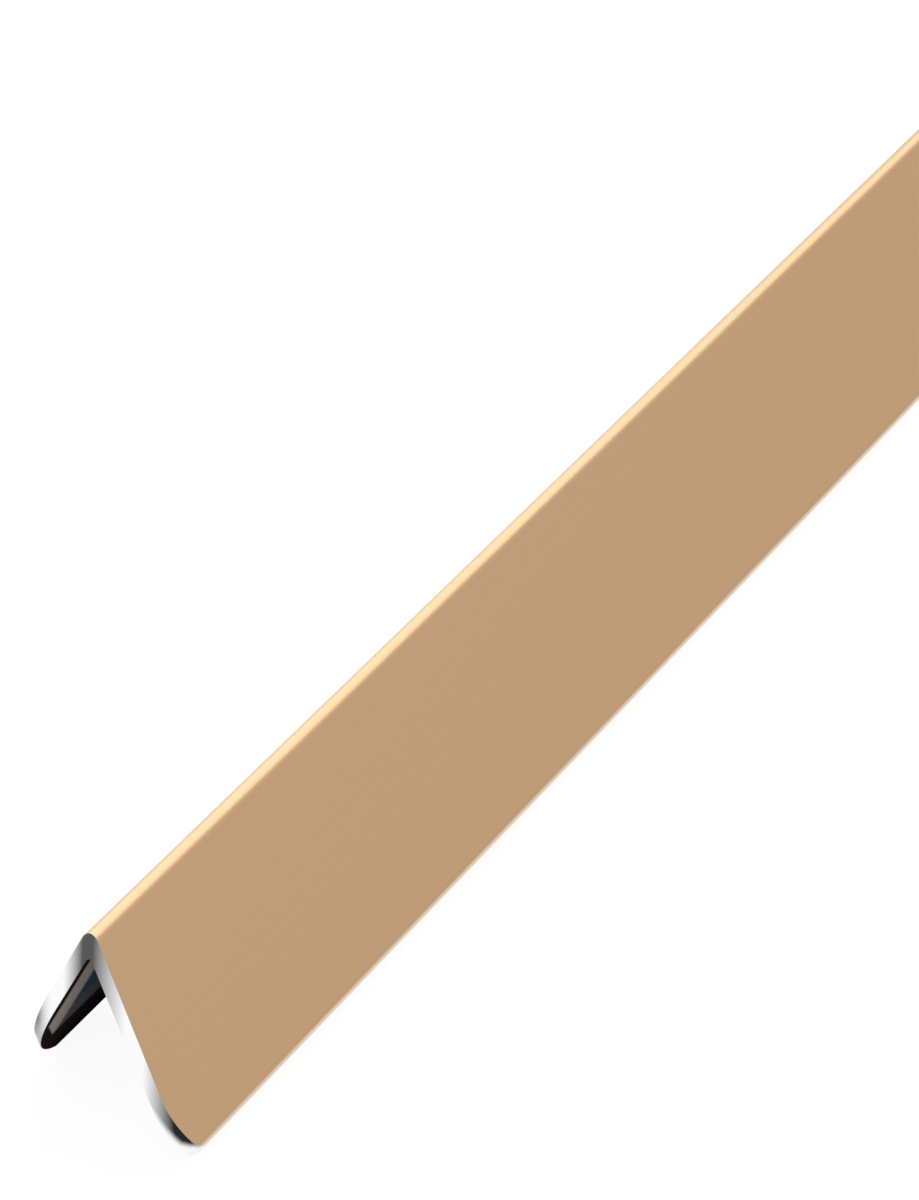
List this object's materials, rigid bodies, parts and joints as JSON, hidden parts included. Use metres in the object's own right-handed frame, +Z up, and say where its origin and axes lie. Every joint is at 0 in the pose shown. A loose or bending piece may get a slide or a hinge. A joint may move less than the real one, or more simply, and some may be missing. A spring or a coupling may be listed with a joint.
{
  "type": "corner guard moulding",
  "caption": "Right-angle corner guard moulding in champagne aluminium, rounded along the ridge, with one raked end and rounded tips, glued over a wall's outside corner.",
  "frame": {"origin": "on the floor under the middle of the length, below the ridge", "axes": "+X along the length from the raked end to the square end, +Z up to the ridge"},
  "size_m": [1, 0.0344, 0.018],
  "materials": {
    "champagne_aluminium": "satin champagne"
  },
  "bodies": {
    "root": {"corner_guard": "champagne_aluminium"}
  },
  "joints": []
}
